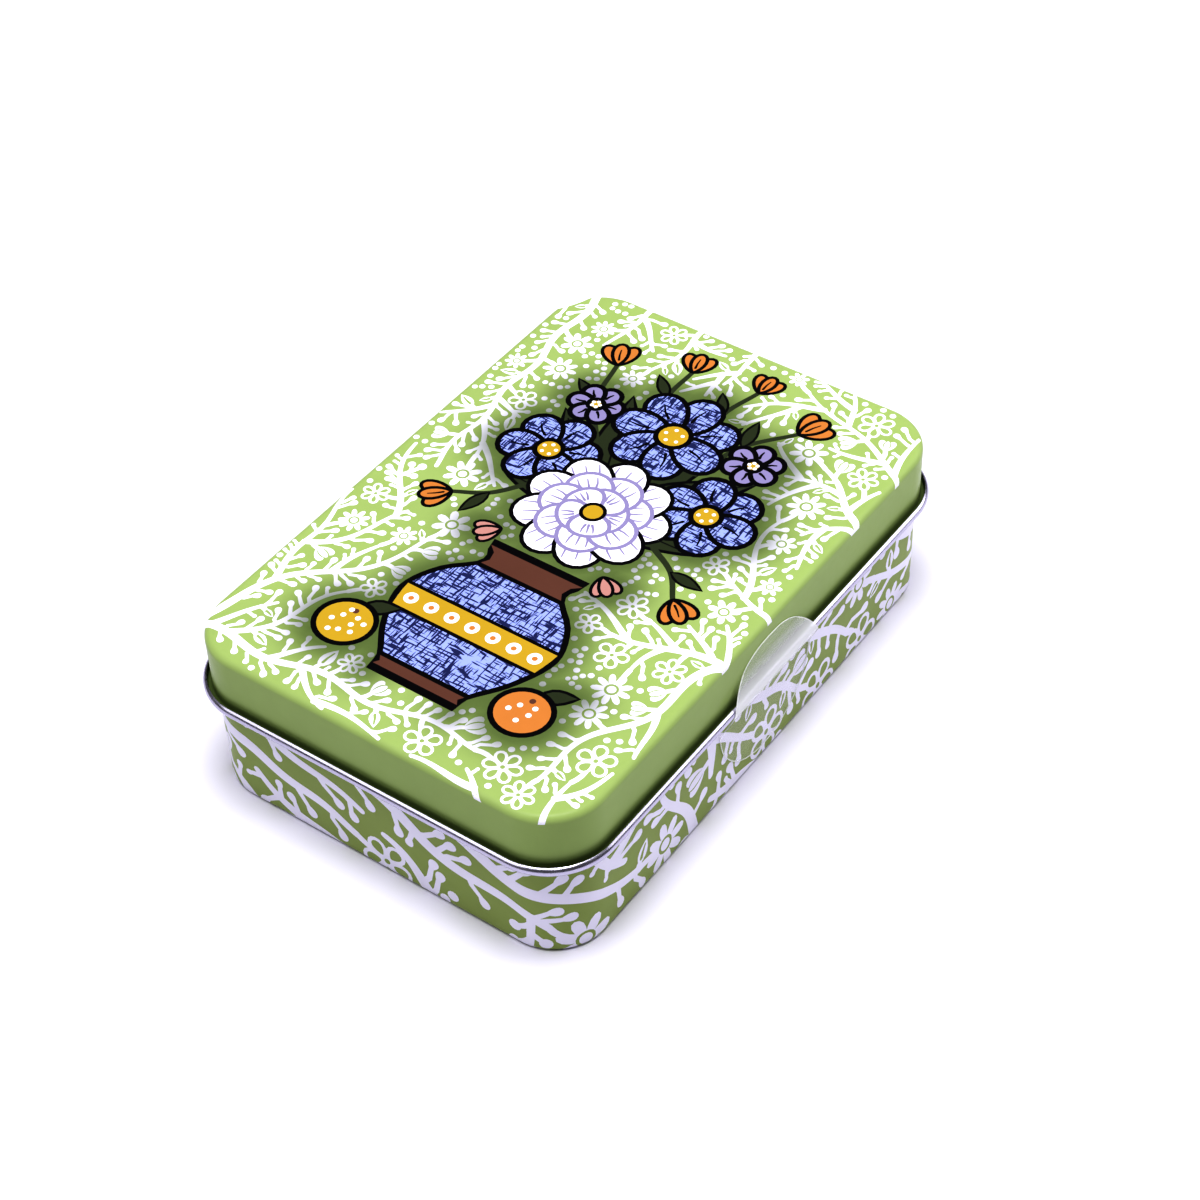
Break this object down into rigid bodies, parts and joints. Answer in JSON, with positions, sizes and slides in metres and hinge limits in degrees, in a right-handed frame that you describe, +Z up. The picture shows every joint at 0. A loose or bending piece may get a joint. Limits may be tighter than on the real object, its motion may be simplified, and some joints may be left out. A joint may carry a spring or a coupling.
{
  "type": "trinket tin",
  "caption": "Rectangular hinged tinplate trinket tin with rounded corners, a drawn lid with a rolled bare bead, a printed body and a round clear film seal at the front.",
  "frame": {"origin": "on the table, under the middle of the tin's plan", "axes": "+X along the tin's length, -Y towards the front that opens, +Y towards the hinge, +Z up through the lid"},
  "size_m": [0.1028, 0.0716, 0.0288],
  "materials": {
    "lid_green": "satin printed lacquer on tinplate",
    "body_green": "satin printed lacquer on tinplate",
    "bare_tinplate": "bright bare tinplate",
    "white_print": "satin white ink",
    "picture_print": "satin coloured inks",
    "clear_film": "clear glossy film"
  },
  "bodies": {
    "body": {"body_wall": "body_green", "bottom_plate": "bare_tinplate"},
    "lid": {"lid_shell": "lid_green", "seal_sticker": "clear_film"}
  },
  "joints": [
    {"name": "lid_hinge", "type": "hinge", "parent": "body", "child": "lid", "pos_m": [0, 0.03471, 0.019], "axis": [-1, 0, 0], "range_deg": [0, 110]}
  ]
}
